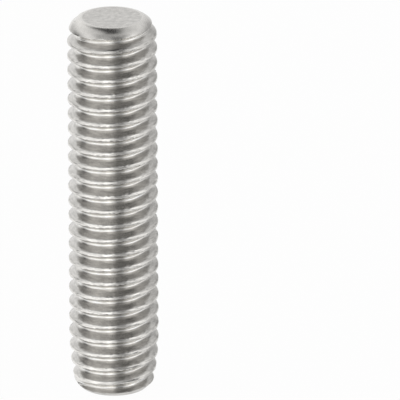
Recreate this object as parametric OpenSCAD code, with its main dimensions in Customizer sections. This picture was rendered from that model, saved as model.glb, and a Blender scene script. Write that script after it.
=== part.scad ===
// Socket set screw with a flat point, thread over its whole length.
// It stands on its socket end, with the axis of the screw on Z.

/* [Thread] */
// Diameter over the crests of the thread
major_d = 5.82; // [5.4:0.01:6.4]
// Distance from one turn to the next
pitch = 1; // [0.85:0.05:1.1]
// Width of the narrow land left along each crest
crest_w = 0.18; // [0.12:0.01:0.25]
// Radius of the rounding at the bottom of the groove
root_round = 0.14; // [0.1:0.01:0.18]
// Angle between the two flanks of the groove
flank_angle = 60; // [56:1:66]
// Angle about the axis at which the groove would cross the socket face
start_angle = 72; // [0:1:359]
// Number of turns above the socket face at which the groove begins
first_turn = 0.3; // [0.1:0.05:0.6]
// Turns over which the groove comes up to its full depth
run_in = 0.15; // [0.1:0.05:0.6]

/* [Body] */
// Length from the socket face to the point face
body_length = 25.4; // [10:0.1:30]

/* [Point end] */
// Diameter of the flat point face
point_d = 3.84; // [3.2:0.02:4.2]
// Height over which the rounded shoulder grows to the full diameter
shoulder_h = 1.65; // [1.2:0.05:2]

/* [Socket end] */
// Outer diameter of the socket face, where the chamfer starts
face_d = 4.4; // [4.2:0.01:4.7]
// Slope of the chamfer, measured from the axis
chamfer_angle = 45; // [35:1:50]
// Height of the chamfer
chamfer_h = 0.37; // [0.25:0.01:0.45]
// Height above the chamfer over which the thread grows to its full diameter
taper_h = 3.4; // [2.4:0.1:4.4]
// Share of that taper which the bottom of the groove follows
groove_taper = 0.8; // [0.4:0.05:1]
// Width of the rim that stands proud of the socket face
rim_w = 0.14; // [0.08:0.01:0.2]
// Depth of the socket face below that rim
dish_depth = 0.05; // [0.02:0.01:0.1]

/* [Hex socket] */
// Width of the socket across its flats
socket_af = 3.05; // [2.6:0.01:3.2]
// Depth of the socket, from the rim to its floor
socket_depth = 3.5; // [2:0.1:6]
// Width of the bevel around the mouth of the socket
mouth_bevel = 0.06; // [0.03:0.01:0.1]
// Diameter of the cone left in the floor
dimple_d = 1.55; // [1:0.05:2.4]
// Angle of that cone
dimple_angle = 120; // [100:1:130]

/* [Hidden] */

// Facets in one turn of the groove, in its rounded root, along the shoulder and along the taper
turn_steps = 32;
root_steps = 3;
shoulder_steps = 9;
taper_steps = 4;
// How far a cut reaches past the surface that it opens
past = 0.06;

major_r = major_d / 2;
point_r = point_d / 2;
face_r = face_d / 2;
// The chamfer ends at its height, or lower where it meets the crests first
chamfer_top = min(chamfer_h, (major_r - face_r) / tan(chamfer_angle));
chamfer_r = face_r + chamfer_top * tan(chamfer_angle);

half_flank = flank_angle / 2;
groove_half_w = (pitch - crest_w) / 2;
// The flanks would meet in a sharp V here, below which no groove is cut
sharp_r = major_r - groove_half_w / tan(half_flank);
round_centre_r = sharp_r + root_round / sin(half_flank);
root_r = round_centre_r - root_round;
thread_depth = major_r - root_r;

socket_corner_r = socket_af / 2 / cos(30);
dimple_h = dimple_d / 2 / tan(dimple_angle / 2);

// Half width of the groove at radius r, where its flanks are straight
function flank_half_w(r) = groove_half_w + (r - major_r) * tan(half_flank);

// Section of the groove as [radius, height above its middle], bottom flank first
groove_section = concat(
    [[major_r + past, -flank_half_w(major_r + past)]],
    [for (i = [0 : root_steps])
        let (a = (90 - half_flank) * (2 * i / root_steps - 1))
        [round_centre_r - root_round * cos(a), root_round * sin(a)]],
    [[major_r + past, flank_half_w(major_r + past)]]
);

// The groove runs past the point face, so that it leaves the metal there
last_turn = body_length / pitch + 0.5;
groove_rings = ceil((last_turn - first_turn) * turn_steps);

// How far the crests stay inside the full radius at a height above the socket face
function taper(z) = (major_r - chamfer_r) * pow(1 - min(1, max(0, z - chamfer_top) / taper_h), 2.1);

// How far the groove moves outwards at a number of turns from the socket face
function held_out(turns) =
    (thread_depth + past / 2) * pow(max(0, 1 - (turns - first_turn) / run_in), 2)
    - groove_taper * taper(pitch * turns);

// Radius of the rounded shoulder at a share of its height, counted down from the point face
function shoulder_r(share) = point_r + (major_r - point_r) * pow(1 - pow(1 - share, 2.8), 0.58);

module thread_groove() {
    side = len(groove_section);
    points = [
        for (i = [0 : groove_rings])
            let (turns = first_turn + i / turn_steps, a = start_angle + 360 * turns)
                for (p = groove_section)
                    let (r = p[0] + held_out(turns))
                        [r * cos(a), r * sin(a), p[1] + pitch * turns]
    ];
    walls = [
        for (i = [0 : groove_rings - 1])
            for (j = [0 : side - 1])
                let (a = i * side + j, b = i * side + (j + 1) % side)
                    each [[a, b + side, b], [a, a + side, b + side]]
    ];
    first_cap = [for (j = [0 : side - 1]) j];
    last_cap = [for (j = [side - 1 : -1 : 0]) groove_rings * side + j];
    polyhedron(points = points, faces = concat(walls, [first_cap, last_cap]), convexity = 10);
}

// Outline of the blank turned about the axis: chamfered foot, tapered start, rounded shoulder
module blank() {
    foot = [
        for (i = [0 : taper_steps])
            let (z = chamfer_top + taper_h * pow(i / taper_steps, 1.3))
                [major_r - taper(z), z]
    ];
    shoulder = [
        for (i = [shoulder_steps : -1 : 0])
            let (share = pow(i / shoulder_steps, 2))
                [shoulder_r(share), body_length - shoulder_h * share]
    ];
    rotate_extrude($fn = 96)
        polygon(concat([[0, 0], [face_r, 0]], foot, shoulder, [[0, body_length]]));
}

// Shallow recess inside the rim of the socket face
module face_dish() {
    dish_r = face_r - rim_w;
    translate([0, 0, -past])
        cylinder(h = past + dish_depth, r1 = dish_r + past, r2 = dish_r - dish_depth, $fn = 96);
}

module hex_socket() {
    cylinder(h = socket_depth, r = socket_corner_r, $fn = 6);
    translate([0, 0, dish_depth - past])
        cylinder(
            h = mouth_bevel + past,
            r1 = socket_corner_r + (mouth_bevel + past) / cos(30),
            r2 = socket_corner_r,
            $fn = 6
        );
    translate([0, 0, socket_depth])
        cylinder(h = dimple_h, r1 = dimple_d / 2, r2 = 0, $fn = 48);
}

module set_screw() {
    color("#b8b5ae")
        difference() {
            blank();
            face_dish();
            hex_socket();
            thread_groove();
        }
}

set_screw();
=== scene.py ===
"""Looks of the set screw: a fine mesh of its rolled thread, its steel, the studio and the camera."""

import math

import bmesh
import bpy
import numpy as np
from mathutils import Matrix, Vector

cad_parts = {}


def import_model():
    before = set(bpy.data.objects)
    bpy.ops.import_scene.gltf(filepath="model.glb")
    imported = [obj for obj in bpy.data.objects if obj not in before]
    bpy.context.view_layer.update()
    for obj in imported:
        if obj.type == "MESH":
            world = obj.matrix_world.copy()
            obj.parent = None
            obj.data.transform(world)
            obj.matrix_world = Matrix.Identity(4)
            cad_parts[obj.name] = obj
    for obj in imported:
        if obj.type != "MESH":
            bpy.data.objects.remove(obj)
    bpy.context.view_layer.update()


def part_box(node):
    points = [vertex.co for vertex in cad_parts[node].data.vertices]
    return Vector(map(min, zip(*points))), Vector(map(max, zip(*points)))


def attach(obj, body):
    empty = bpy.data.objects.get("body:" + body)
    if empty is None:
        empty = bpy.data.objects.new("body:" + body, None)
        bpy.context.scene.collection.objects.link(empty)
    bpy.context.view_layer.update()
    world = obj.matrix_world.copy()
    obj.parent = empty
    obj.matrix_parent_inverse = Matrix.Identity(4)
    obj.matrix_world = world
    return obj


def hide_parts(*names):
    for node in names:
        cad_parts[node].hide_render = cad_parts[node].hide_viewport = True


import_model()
screw_low, screw_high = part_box("set_screw")

MM = 0.001

# Overall sizes in millimetres, from the frame
MAJOR_R = screw_high.x / MM
LENGTH = (screw_high.z - screw_low.z) / MM

# Sizes of the thread in millimetres and turns, as the part's source has them
PITCH = 1.0
CREST_W = 0.18
ROOT_ROUND = 0.14
HALF_FLANK = math.radians(30)
START_TURN = 72 / 360
FIRST_TURN = 0.3
RUN_IN = 0.15
HELD_OUT_PAST = 0.03

# Sizes of both ends in millimetres, as the part's source has them
POINT_R = 1.92
SHOULDER_H = 1.65
SHOULDER_POWERS = (2.8, 0.58)
FACE_R = 2.2
CHAMFER_H = 0.37
TAPER_H = 3.4
TAPER_POWER = 2.1
GROOVE_TAPER = 0.8
RIM_W = 0.14
DISH_DEPTH = 0.05
SOCKET_HALF_AF = 1.525
SOCKET_DEPTH = 3.5
MOUTH_BEVEL = 0.06
DIMPLE_R = 0.775
DIMPLE_H = DIMPLE_R / math.tan(math.radians(60))

# Sizes that follow from those
GROOVE_HALF_W = (PITCH - CREST_W) / 2
SHARP_R = MAJOR_R - GROOVE_HALF_W / math.tan(HALF_FLANK)
ROUND_CENTRE_R = SHARP_R + ROOT_ROUND / math.sin(HALF_FLANK)
ROOT_HALF_W = ROOT_ROUND * math.cos(HALF_FLANK)
THREAD_DEPTH = MAJOR_R - ROUND_CENTRE_R + ROOT_ROUND
DISH_R = FACE_R - RIM_W

# Points round the axis, level rows at each end, and the heights between which the rows follow the thread
COLUMNS = 168
FOOT_ROWS = 36
SHOULDER_ROWS = 44
SHOULDER_ROW_POWER = 1.6
FOOT_TOP = 1.1
SHOULDER_FOOT = LENGTH - 1.6
# Width over which a crest is rounded into the flanks
EDGE_SOFTNESS = 0.05
# Hole left in the middle of the point and of the socket's floor, which weld closes
CENTRE_HOLE_R = 0.02
# A radius well outside the screw, for where no groove has been found yet
OUTSIDE = 99.0
# Points closer than this are joined, and edges sharper than this angle are shaded as edges
WELD_REACH = 0.0004
SHARP_FROM = math.radians(28)

# Wear: pits in the crests and ragged edges along them, both fading out close to a seam of the mesh
PIT_DEPTH = 0.009
PIT_DULLNESS = 0.15
EDGE_RAG = 0.015
RAG_REACH = 0.04
SEAM_REACH = 0.1
WEAR_SEED = 4

# Polish and painted highlight: 0 in the root of the groove, where a narrow band is painted bright for the
# root's highlight, 0.5 on its flanks and 1 on the crests, which are burnished and also painted brighter for
# their highlights; these say where it changes
CREST_FADE = 0.04
ROOT_HIGHLIGHT_HALF_W = 0.09
ROOT_FADE = 0.045
CHAMFER_FADE = 0.05
SHOULDER_FADE = 0.4
SHOULDER_DULLNESS = 0.55
# A face of the shoulder with at least this level of polish and painted highlight has left the thread
SHOULDER_POLISH_AND_HIGHLIGHT = 0.68

# Zones of the mesh, which are also its material slots
THREAD, FACE, SOCKET, SHOULDER = range(4)

# Numbers of a Mix node's colour sockets
MIX_A = 6
MIX_B = 7
MIX_RESULT = 2

# Camera: the photograph's elevation, a long lens, and the screw left of the middle of the frame
ELEVATION = math.radians(21.2)
ROLL = math.radians(-0.24)
CAMERA_AWAY = 0.9
SENSOR_MM = 36
CLIP_START = 0.1
CLIP_END = 5
FRAME_PX = 400
PX_PER_MM = 15.45
SCREW_PX = (113.15, 200.7)

# Studio: the level of its walls, the half side of the table and how much of the table is plain white light
ROOM_LEVEL = 0.93
TABLE_HALF = 1.5
TABLE_GLOW = 0.97


def soft_min(a, b, width):
    """Smaller of two radii, rounded over where they are within width of each other."""
    h = np.clip(0.5 + 0.5 * (b - a) / width, 0, 1)
    return b + (a - b) * h - width * h * (1 - h)


def taper(z):
    """How far the crests stay inside the full radius at height z."""
    left = 1 - np.clip((z - CHAMFER_H) / TAPER_H, 0, 1)
    return (MAJOR_R - FACE_R - CHAMFER_H) * left ** TAPER_POWER


def envelope(z):
    """Radius of the blank before its thread, at height z."""
    foot = np.where(z < CHAMFER_H, FACE_R + np.maximum(z, 0), MAJOR_R - taper(z))
    up = np.clip((z - (LENGTH - SHOULDER_H)) / SHOULDER_H, 0, 1)
    bulge, close = SHOULDER_POWERS
    shoulder = POINT_R + (MAJOR_R - POINT_R) * (1 - up ** bulge) ** close
    return np.minimum(foot, shoulder)


def cut_radius(u):
    """Radius of the groove's surface at a height u from its middle."""
    u = np.abs(u)
    root = ROUND_CENTRE_R - np.sqrt(np.maximum(0, ROOT_ROUND ** 2 - np.minimum(u, ROOT_HALF_W) ** 2))
    flank = MAJOR_R + (u - GROOVE_HALF_W) / math.tan(HALF_FLANK)
    return np.where(u < ROOT_HALF_W, root, flank)


def held_out(turns):
    """How far the groove moves outwards: out of the metal at its start, inwards along the taper."""
    start = np.clip(1 - (turns - FIRST_TURN) / RUN_IN, 0, 1)
    hold = (THREAD_DEPTH + HELD_OUT_PAST) * start ** 2 - GROOVE_TAPER * taper(PITCH * turns)
    return np.where(turns < FIRST_TURN, 2 * THREAD_DEPTH, hold)


def groove_at(angle, z):
    """Radius of the groove and the distance from its middle, at an angle in turns and a height."""
    groove = np.full(np.broadcast(angle, z).shape, OUTSIDE)
    aside = np.full(groove.shape, PITCH)
    nearest = np.round(z / PITCH - (angle - START_TURN))
    for step in (-1, 0, 1):
        turns = nearest + step + (angle - START_TURN)
        here = cut_radius(z - PITCH * turns) + held_out(turns)
        aside = np.where(here < groove, np.abs(z - PITCH * turns), aside)
        groove = np.minimum(groove, here)
    return groove, aside


def thread_radius(angle, z):
    """Radius of the screw's side at an angle in turns and a height."""
    groove, aside = groove_at(angle, z)
    return soft_min(envelope(z), groove, EDGE_SOFTNESS)


def polish_and_highlight(angle, z):
    """Polish and painted highlight of the side at an angle in turns and a height: the crests are burnished
    and painted brighter for their highlights, a band in the root is painted bright for its highlight, and
    both ends are duller than the crests.
    """
    groove, aside = groove_at(angle, z)
    # The crests are painted brighter for their highlights, and the band in the root is a painted highlight.
    crest = np.clip(1 + (groove - envelope(z)) / CREST_FADE, 0, 1)
    root = np.clip(1 - (aside - ROOT_HIGHLIGHT_HALF_W) / ROOT_FADE, 0, 1) * (1 - crest)
    chamfer = np.clip((CHAMFER_H - z) / CHAMFER_FADE, 0, 1)
    shoulder = SHOULDER_DULLNESS * np.clip((z - LENGTH + SHOULDER_H) / SHOULDER_FADE, 0, 1)
    return 0.5 + 0.5 * crest * (1 - chamfer - shoulder) - 0.5 * root


def turn_heights():
    """Heights of one turn's rows of points from the middle of the groove, close together at its edges."""
    root = [0.06, ROOT_HALF_W, 0.155]
    edge = [GROOVE_HALF_W + past for past in (-0.08, -0.025, 0, 0.025, 0.06)]
    half = root + edge
    return np.array([-u for u in reversed(half)] + [0.0] + half + [PITCH / 2])


class Mesh:
    """Points and faces collected ring by ring."""

    def __init__(self):
        self.points = []
        self.faces = []
        self.zones = []
        self.polish_and_highlight = []

    def ring(self, radius, z, polish_and_highlight=0.5):
        """Adds one ring of points and returns the number of its first one."""
        first = len(self.points)
        angle = 2 * math.pi * np.arange(COLUMNS) / COLUMNS
        radius = np.broadcast_to(radius, angle.shape)
        z = np.broadcast_to(z, angle.shape)
        self.points += list(zip(radius * np.cos(angle), radius * np.sin(angle), z))
        self.polish_and_highlight += list(np.broadcast_to(polish_and_highlight, angle.shape))
        return first

    def band(self, low, high, zone):
        """Joins two rings with faces that look outwards when the second is above the first."""
        for i in range(COLUMNS):
            j = (i + 1) % COLUMNS
            self.faces.append((low + i, low + j, high + j, high + i))
            self.zones.append(zone)

    def stack(self, rings, zone):
        """Joins rings of (radius, height) or (radius, height, polish and painted highlight) one after
        another.
        """
        numbers = [self.ring(*ring) for ring in rings]
        for low, high in zip(numbers, numbers[1:]):
            self.band(low, high, zone)

    def helical_bands(self, rows, per_turn):
        """Joins rows that climb with the thread; each row's end meets the row one turn further up."""
        for low, high, low_on, high_on in zip(rows, rows[1:], rows[per_turn:], rows[per_turn + 1:]):
            for i in range(COLUMNS - 1):
                self.faces.append((low + i, low + i + 1, high + i + 1, high + i))
            last = COLUMNS - 1
            self.faces.append((low + last, low_on, high_on, high + last))
            self.zones += [THREAD] * COLUMNS

    def leave_thread(self, first):
        """Moves the smooth faces from a number on to the shoulder's own zone."""
        for number in range(first, len(self.faces)):
            if min(self.polish_and_highlight[point] for point in self.faces[number]) > SHOULDER_POLISH_AND_HIGHLIGHT:
                self.zones[number] = SHOULDER


def side_ring(z, wear, shift=0.0):
    """One ring of the side: radius, height, and polish with painted highlight. Its crests are pitted and
    their edges ragged.
    """
    angle = np.arange(COLUMNS) / COLUMNS
    z = np.broadcast_to(z, angle.shape)
    polish_and_highlight_here = polish_and_highlight(angle, z)
    from_seams = np.minimum(np.minimum(np.abs(z), np.abs(z - FOOT_TOP)), SHOULDER_FOOT - z)
    kept = np.clip(from_seams / SEAM_REACH, 0, 1)
    pits = kept * np.clip(2 * polish_and_highlight_here - 1, 0, 1) * wear.random(COLUMNS)
    return thread_radius(angle, z) - PIT_DEPTH * pits, z + kept * shift, polish_and_highlight_here - PIT_DULLNESS * pits


def helical_rows(mesh, wear):
    """Rows of points along the thread, held between the level rows at both ends."""
    angle = np.arange(COLUMNS) / COLUMNS
    rows = []
    for turn in range(-2, int(LENGTH / PITCH) + 3):
        ragged = {side: wear.normal(0, EDGE_RAG, COLUMNS) for side in (-1, 1)}
        for u in turn_heights():
            near_edge = math.exp(-((abs(u) - GROOVE_HALF_W) / RAG_REACH) ** 2)
            z = np.clip(PITCH * (turn + angle - START_TURN) + u, FOOT_TOP, SHOULDER_FOOT)
            rows.append(mesh.ring(*side_ring(z, wear, ragged[1 if u > 0 else -1] * near_edge)))
    return rows


def thread_side(mesh):
    """The side of the screw, with rows along the helix and level rows at both ends."""
    wear = np.random.default_rng(WEAR_SEED)
    foot = np.linspace(0, FOOT_TOP, FOOT_ROWS)
    mesh.stack([side_ring(z, wear) for z in foot], THREAD)
    mesh.helical_bands(helical_rows(mesh, wear), len(turn_heights()))
    first = len(mesh.faces)
    below_top = (1 - np.linspace(0, 1, SHOULDER_ROWS)) ** SHOULDER_ROW_POWER
    shoulder = LENGTH - (LENGTH - SHOULDER_FOOT) * below_top
    mesh.stack([side_ring(z, wear) for z in shoulder], THREAD)
    mesh.leave_thread(first)


def hexagon(half_af):
    """Radius of a hexagon at each column, with a corner on +X."""
    angle = 360 * np.arange(COLUMNS) / COLUMNS
    return half_af / np.cos(np.radians(angle % 60 - 30))


def point_face(mesh):
    """The flat point, with two rings close inside its edge."""
    radii = [POINT_R, POINT_R - 0.02, POINT_R - 0.08, 1.5, 1.0, 0.5, CENTRE_HOLE_R]
    mesh.stack([(r, LENGTH) for r in radii], FACE)


def hex_socket(mesh):
    """The socket from the cone in its floor to its mouth, with a small rounding round the floor."""
    mouth = DISH_DEPTH + MOUTH_BEVEL
    ring_in_cone = 0.2
    outline = [
        (CENTRE_HOLE_R, SOCKET_DEPTH + DIMPLE_H),
        (ring_in_cone, SOCKET_DEPTH + DIMPLE_H * (1 - ring_in_cone / DIMPLE_R)),
        (DIMPLE_R, SOCKET_DEPTH),
        (hexagon(SOCKET_HALF_AF - 0.04), SOCKET_DEPTH),
        (hexagon(SOCKET_HALF_AF - 0.01), SOCKET_DEPTH - 0.012),
        (hexagon(SOCKET_HALF_AF), SOCKET_DEPTH - 0.05),
        (hexagon(SOCKET_HALF_AF), mouth + 0.02),
        (hexagon(SOCKET_HALF_AF), mouth),
    ]
    mesh.stack(outline, SOCKET)


def socket_face(mesh):
    """The face round the socket: the bevel of its mouth, the dish and the rim."""
    outline = [
        (hexagon(SOCKET_HALF_AF), DISH_DEPTH + MOUTH_BEVEL),
        (hexagon(SOCKET_HALF_AF + MOUTH_BEVEL), DISH_DEPTH),
        (DISH_R - DISH_DEPTH, DISH_DEPTH),
        (DISH_R, 0.0),
        (FACE_R - 0.02, 0.0),
        (FACE_R, 0.0),
    ]
    mesh.stack(outline, FACE)


def screw_object():
    """The whole screw as one object, with its zones and its polish and painted highlights."""
    mesh = Mesh()
    thread_side(mesh)
    point_face(mesh)
    hex_socket(mesh)
    socket_face(mesh)
    data = bpy.data.meshes.new("screw_body")
    data.from_pydata([[c * MM for c in p] for p in mesh.points], [], mesh.faces)
    data.polygons.foreach_set("material_index", mesh.zones)
    # This attribute carries the crests' polish and the painted highlights on the crests and in the root.
    data.attributes.new("polish_and_highlight", "FLOAT", "POINT").data.foreach_set("value", mesh.polish_and_highlight)
    screw = bpy.data.objects.new("screw_body", data)
    bpy.context.scene.collection.objects.link(screw)
    return screw


def weld(screw):
    """Joins the points that meet, closes both small centres and turns every face outwards."""
    bm = bmesh.new()
    bm.from_mesh(screw.data)
    bmesh.ops.remove_doubles(bm, verts=bm.verts, dist=WELD_REACH * MM)
    bmesh.ops.holes_fill(bm, edges=bm.edges, sides=0)
    bmesh.ops.recalc_face_normals(bm, faces=bm.faces)
    bm.to_mesh(screw.data)
    bm.free()
    screw.data.set_sharp_from_angle(angle=SHARP_FROM)


def node(tree, kind, **inputs):
    """Adds a node and sets inputs by their names, with _ for a space."""
    made = tree.nodes.new(kind)
    for name, value in inputs.items():
        made.inputs[name.replace("_", " ")].default_value = value
    return made


def feed(tree, socket, value):
    """Sets a number on a socket, or links another socket to it."""
    if isinstance(value, (int, float)):
        socket.default_value = value
    else:
        tree.links.new(value, socket)


def math_node(tree, operation, first, second):
    """Math node with two inputs, each a number or a socket."""
    made = tree.nodes.new("ShaderNodeMath")
    made.operation = operation
    feed(tree, made.inputs[0], first)
    feed(tree, made.inputs[1], second)
    return made.outputs[0]


def tinted(tree, colour, shade):
    """Mix node that multiplies a colour by a shade."""
    tint = tree.nodes.new("ShaderNodeMix")
    tint.data_type = "RGBA"
    tint.blend_type = "MULTIPLY"
    tint.name = "tint"
    tint.inputs["Factor"].default_value = 1.0
    tint.inputs[MIX_A].default_value = colour
    tree.links.new(shade, tint.inputs[MIX_B])
    return tint.outputs[MIX_RESULT]


def steel(name, colour, roughness, grain, bump, mottle):
    """Stainless steel with a fine directional grain; grain is its scale along x, y and z per metre."""
    material = bpy.data.materials.new(name)
    material.use_nodes = True
    tree = material.node_tree
    shader = tree.nodes["Principled BSDF"]
    shader.inputs["Metallic"].default_value = 1.0
    where = tree.nodes.new("ShaderNodeTexCoord")
    stretch = node(tree, "ShaderNodeMapping", Scale=grain)
    noise = node(tree, "ShaderNodeTexNoise", Scale=1.0, Detail=4.0, Roughness=0.7)
    rough = node(tree, "ShaderNodeMapRange", To_Min=roughness[0], To_Max=roughness[1])
    bumped = node(tree, "ShaderNodeBump", Strength=bump, Distance=0.002 * MM)
    shade = node(tree, "ShaderNodeMapRange", From_Min=0.3, From_Max=0.7)
    shade.inputs["To Min"].default_value = 1 - mottle
    shade.inputs["To Max"].default_value = 1 + mottle
    tree.links.new(where.outputs["Object"], stretch.inputs["Vector"])
    tree.links.new(stretch.outputs["Vector"], noise.inputs["Vector"])
    tree.links.new(noise.outputs["Fac"], rough.inputs["Value"])
    tree.links.new(noise.outputs["Fac"], shade.inputs["Value"])
    tree.links.new(noise.outputs["Fac"], bumped.inputs["Height"])
    tree.links.new(tinted(tree, colour, shade.outputs["Result"]), shader.inputs["Base Color"])
    tree.links.new(rough.outputs["Result"], shader.inputs["Roughness"])
    tree.links.new(bumped.outputs["Normal"], shader.inputs["Normal"])
    return material


def burnish_and_paint_highlights(material, flank, crest, root):
    """Makes the crest and the root of a thread brighter than its flanks, by the polish and painted
    highlight kept in the mesh; the crests are partly burnished and partly painted highlight, and the root's
    bright band is a painted highlight.
    """
    tree = material.node_tree
    kept = tree.nodes.new("ShaderNodeAttribute")
    kept.attribute_name = "polish_and_highlight"
    tones = tree.nodes.new("ShaderNodeValToRGB")
    stops = tones.color_ramp.elements
    stops[0].color = root
    stops[1].color = crest
    stops.new(0.5).color = flank
    tree.links.new(kept.outputs["Fac"], tones.inputs["Fac"])
    tree.links.new(tones.outputs["Color"], tree.nodes["tint"].inputs[MIX_A])


def grey(level):
    """Slightly warm grey."""
    return (level * 1.022, level, level * 0.96, 1)


def rolled_thread():
    """Steel of the thread, with a grain that runs round the screw and a brightness over a turn that is
    partly polish and partly painted highlight on the crests and in the root.
    """
    flank = grey(0.57)
    grain = (1400, 1400, 12000)
    material = steel("rolled_thread", flank, (0.2, 0.3), grain, bump=1.0, mottle=0.22)
    # Crest and root tones are painted highlights laid over the burnish of the crests.
    burnish_and_paint_highlights(material, flank, crest=grey(0.89), root=grey(0.95))
    return material


def turned_face():
    """Steel of the point and of the face round the socket."""
    grain = (3000, 3000, 3000)
    return steel("turned_face", grey(0.575), (0.2, 0.3), grain, bump=0.6, mottle=0.2)


def punched_socket():
    """Duller steel of the socket, with a grain along it."""
    grain = (9000, 9000, 1500)
    return steel("punched_socket", grey(0.55), (0.3, 0.45), grain, bump=0.5, mottle=0.05)


def turned_shoulder():
    """Brighter steel of the rounded shoulder."""
    grain = (3500, 3500, 3500)
    return steel("turned_shoulder", grey(0.71), (0.22, 0.32), grain, bump=0.5, mottle=0.08)


def dress(screw):
    """Gives the screw its materials, in the order of the zones."""
    for material in (rolled_thread(), turned_face(), punched_socket(), turned_shoulder()):
        screw.data.materials.append(material)


def camera():
    """The camera, aimed so that the middle of the screw falls on its pixel of the photograph."""
    across = Vector((1, 0, 0))
    back = Vector((0, -math.cos(ELEVATION), math.sin(ELEVATION)))
    up = back.cross(across)
    right_mm = (FRAME_PX / 2 - SCREW_PX[0]) / PX_PER_MM
    up_mm = (SCREW_PX[1] - FRAME_PX / 2) / PX_PER_MM
    middle = Vector((0, 0, LENGTH / 2)) + across * right_mm + up * up_mm
    data = bpy.data.cameras.new("camera")
    data.sensor_width = SENSOR_MM
    data.lens = SENSOR_MM * CAMERA_AWAY / (FRAME_PX / PX_PER_MM * MM)
    data.clip_start = CLIP_START
    data.clip_end = CLIP_END
    made = bpy.data.objects.new("camera", data)
    bpy.context.scene.collection.objects.link(made)
    made.rotation_mode = "QUATERNION"
    facing = (-back).to_track_quat("-Z", "Y").to_matrix() @ Matrix.Rotation(ROLL, 3, "Z")
    made.rotation_quaternion = facing.to_quaternion()
    made.location = middle * MM + back * CAMERA_AWAY
    bpy.context.scene.camera = made


def direction(azimuth, elevation):
    """Unit vector from the screw; azimuth 0 is the camera's side, and it grows to the camera's right."""
    a = math.radians(azimuth)
    e = math.radians(elevation)
    return Vector((math.sin(a) * math.cos(e), -math.cos(a) * math.cos(e), math.sin(e)))


class Room:
    """Light of the room in every direction: one level all round, and what is laid over it."""

    def __init__(self, tree, level):
        self.tree = tree
        self.level = level
        self.looking = tree.nodes.new("ShaderNodeTexCoord").outputs["Generated"]

    def along(self, axis):
        """How far the direction looked in runs along an axis."""
        dot = self.tree.nodes.new("ShaderNodeVectorMath")
        dot.operation = "DOT_PRODUCT"
        dot.inputs[1].default_value = axis
        self.tree.links.new(self.looking, dot.inputs[0])
        return dot.outputs["Value"]

    def fade(self, value, nothing, full):
        """0 where a value is at nothing or beyond it, 1 at full, and smooth between them."""
        made = node(self.tree, "ShaderNodeMapRange", From_Min=nothing, From_Max=full)
        made.interpolation_type = "SMOOTHSTEP"
        self.tree.links.new(value, made.inputs["Value"])
        return made.outputs["Result"]

    def inside(self, axis, degrees, soft):
        """1 in a band of so many degrees across an axis, and 0 beyond its soft edges."""
        half = math.sin(math.radians(degrees / 2))
        aside = math_node(self.tree, "ABSOLUTE", self.along(axis), 0.0)
        return self.fade(aside, half + soft, half - soft)

    def lay(self, share, level):
        """Lays a level over the room by its share of each direction."""
        mix = node(self.tree, "ShaderNodeMix", B=level)
        self.tree.links.new(share, mix.inputs["Factor"])
        feed(self.tree, mix.inputs["A"], self.level)
        self.level = mix.outputs["Result"]

    def panel(self, azimuth, elevation, width, height, level, soft):
        """Lays a light or dark panel over the room; width and height are the degrees that it covers."""
        towards = direction(azimuth, elevation)
        across = Vector((0, 0, 1)).cross(towards).normalized()
        over = self.inside(across, width, soft)
        up = self.inside(towards.cross(across), height, soft)
        facing = math_node(self.tree, "GREATER_THAN", self.along(towards), 0.0)
        share = math_node(self.tree, "MULTIPLY", math_node(self.tree, "MULTIPLY", over, up), facing)
        self.lay(share, level)

    def ceiling(self, radius, level, soft):
        """Lays a round ceiling over the room; its radius is in degrees."""
        edge = math.cos(math.radians(radius))
        self.lay(self.fade(self.along(Vector((0, 0, 1))), edge - soft, edge + soft), level)


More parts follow.
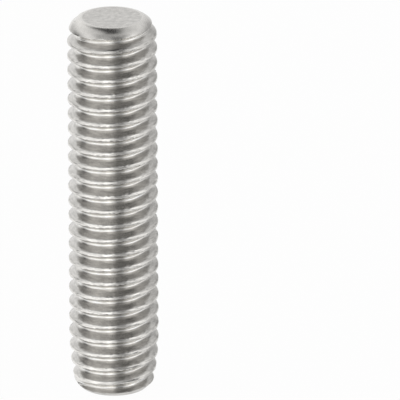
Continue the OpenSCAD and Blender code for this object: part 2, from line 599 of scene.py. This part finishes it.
def world():
    """White room with the soft light and dark panels that the polished metal shows."""
    made = bpy.data.worlds.new("studio")
    bpy.context.scene.world = made
    made.use_nodes = True
    room = Room(made.node_tree, ROOM_LEVEL)
    room.ceiling(26, 0.45, 0.3)
    # Light panels: behind on the left for the pale left edges, at the right for the streak in each root
    room.panel(-155, 20, 30, 65, 1.05, 0.05)
    room.panel(65, 20, 20, 60, 1.45, 0.25)
    # Dim walls at the right and at the left
    room.panel(115, 15, 85, 35, 0.4, 0.25)
    room.panel(-115, 5, 70, 25, 0.6, 0.2)
    # Low light panels in front on the left; the narrow one makes the bright spot in the middle of each root
    room.panel(-60, -35, 25, 25, 1.25, 0.05)
    room.panel(-15, -20, 15, 20, 1.6, 0.05)
    # Grey panel above the camera
    room.panel(0, 55, 75, 35, 0.45, 0.05)
    # Black panel high up behind, which makes the dark patch on the shoulder
    room.panel(190, 75, 25, 60, 0.0, 0.1)
    # Dark panel at the left for the dark left end of each flank
    room.panel(-105, 0, 25, 35, 0.05, 0.2)
    # Low panels at the right, dim behind and black in front, for the right side of the flanks
    room.panel(125, -30, 40, 35, 0.5, 0.25)
    room.panel(50, -35, 45, 15, 0.0, 0.05)
    # Tall dark panels just right of the camera, below and above it, for the dark middle of each turn
    room.panel(20, -25, 30, 65, 0.3, 0.15)
    room.panel(15, 25, 25, 60, 0.1, 0.1)
    room.tree.links.new(room.level, room.tree.nodes["Background"].inputs["Color"])


def table_white():
    """Pale material that shows plain white to the camera, in metal and through glass."""
    material = bpy.data.materials.new("table_white")
    material.use_nodes = True
    tree = material.node_tree
    shader = tree.nodes["Principled BSDF"]
    shader.inputs["Base Color"].default_value = (0.85, 0.85, 0.84, 1)
    shader.inputs["Roughness"].default_value = 0.8
    glow = node(tree, "ShaderNodeEmission", Strength=1.0)
    path = tree.nodes.new("ShaderNodeLightPath")
    seen = math_node(tree, "MAXIMUM", path.outputs["Is Camera Ray"], path.outputs["Is Glossy Ray"])
    seen = math_node(tree, "MAXIMUM", seen, path.outputs["Is Transmission Ray"])
    mix = tree.nodes.new("ShaderNodeMixShader")
    tree.links.new(math_node(tree, "MULTIPLY", seen, TABLE_GLOW), mix.inputs[0])
    tree.links.new(shader.outputs[0], mix.inputs[1])
    tree.links.new(glow.outputs[0], mix.inputs[2])
    tree.links.new(mix.outputs[0], tree.nodes["Material Output"].inputs["Surface"])
    return material


def floor():
    """Pale table under the screw; the metal shows the room below the table's level instead of the table."""
    half = TABLE_HALF
    corners = [(-half, -half, 0), (half, -half, 0), (half, half, 0), (-half, half, 0)]
    data = bpy.data.meshes.new("table")
    data.from_pydata(corners, [], [(0, 1, 2, 3)])
    data.materials.append(table_white())
    table = bpy.data.objects.new("table", data)
    bpy.context.scene.collection.objects.link(table)
    table.visible_glossy = False


camera()
screw = screw_object()
weld(screw)
dress(screw)
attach(screw, "root")
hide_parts("set_screw")
world()
floor()

bpy.context.scene.view_settings.view_transform = "Standard"
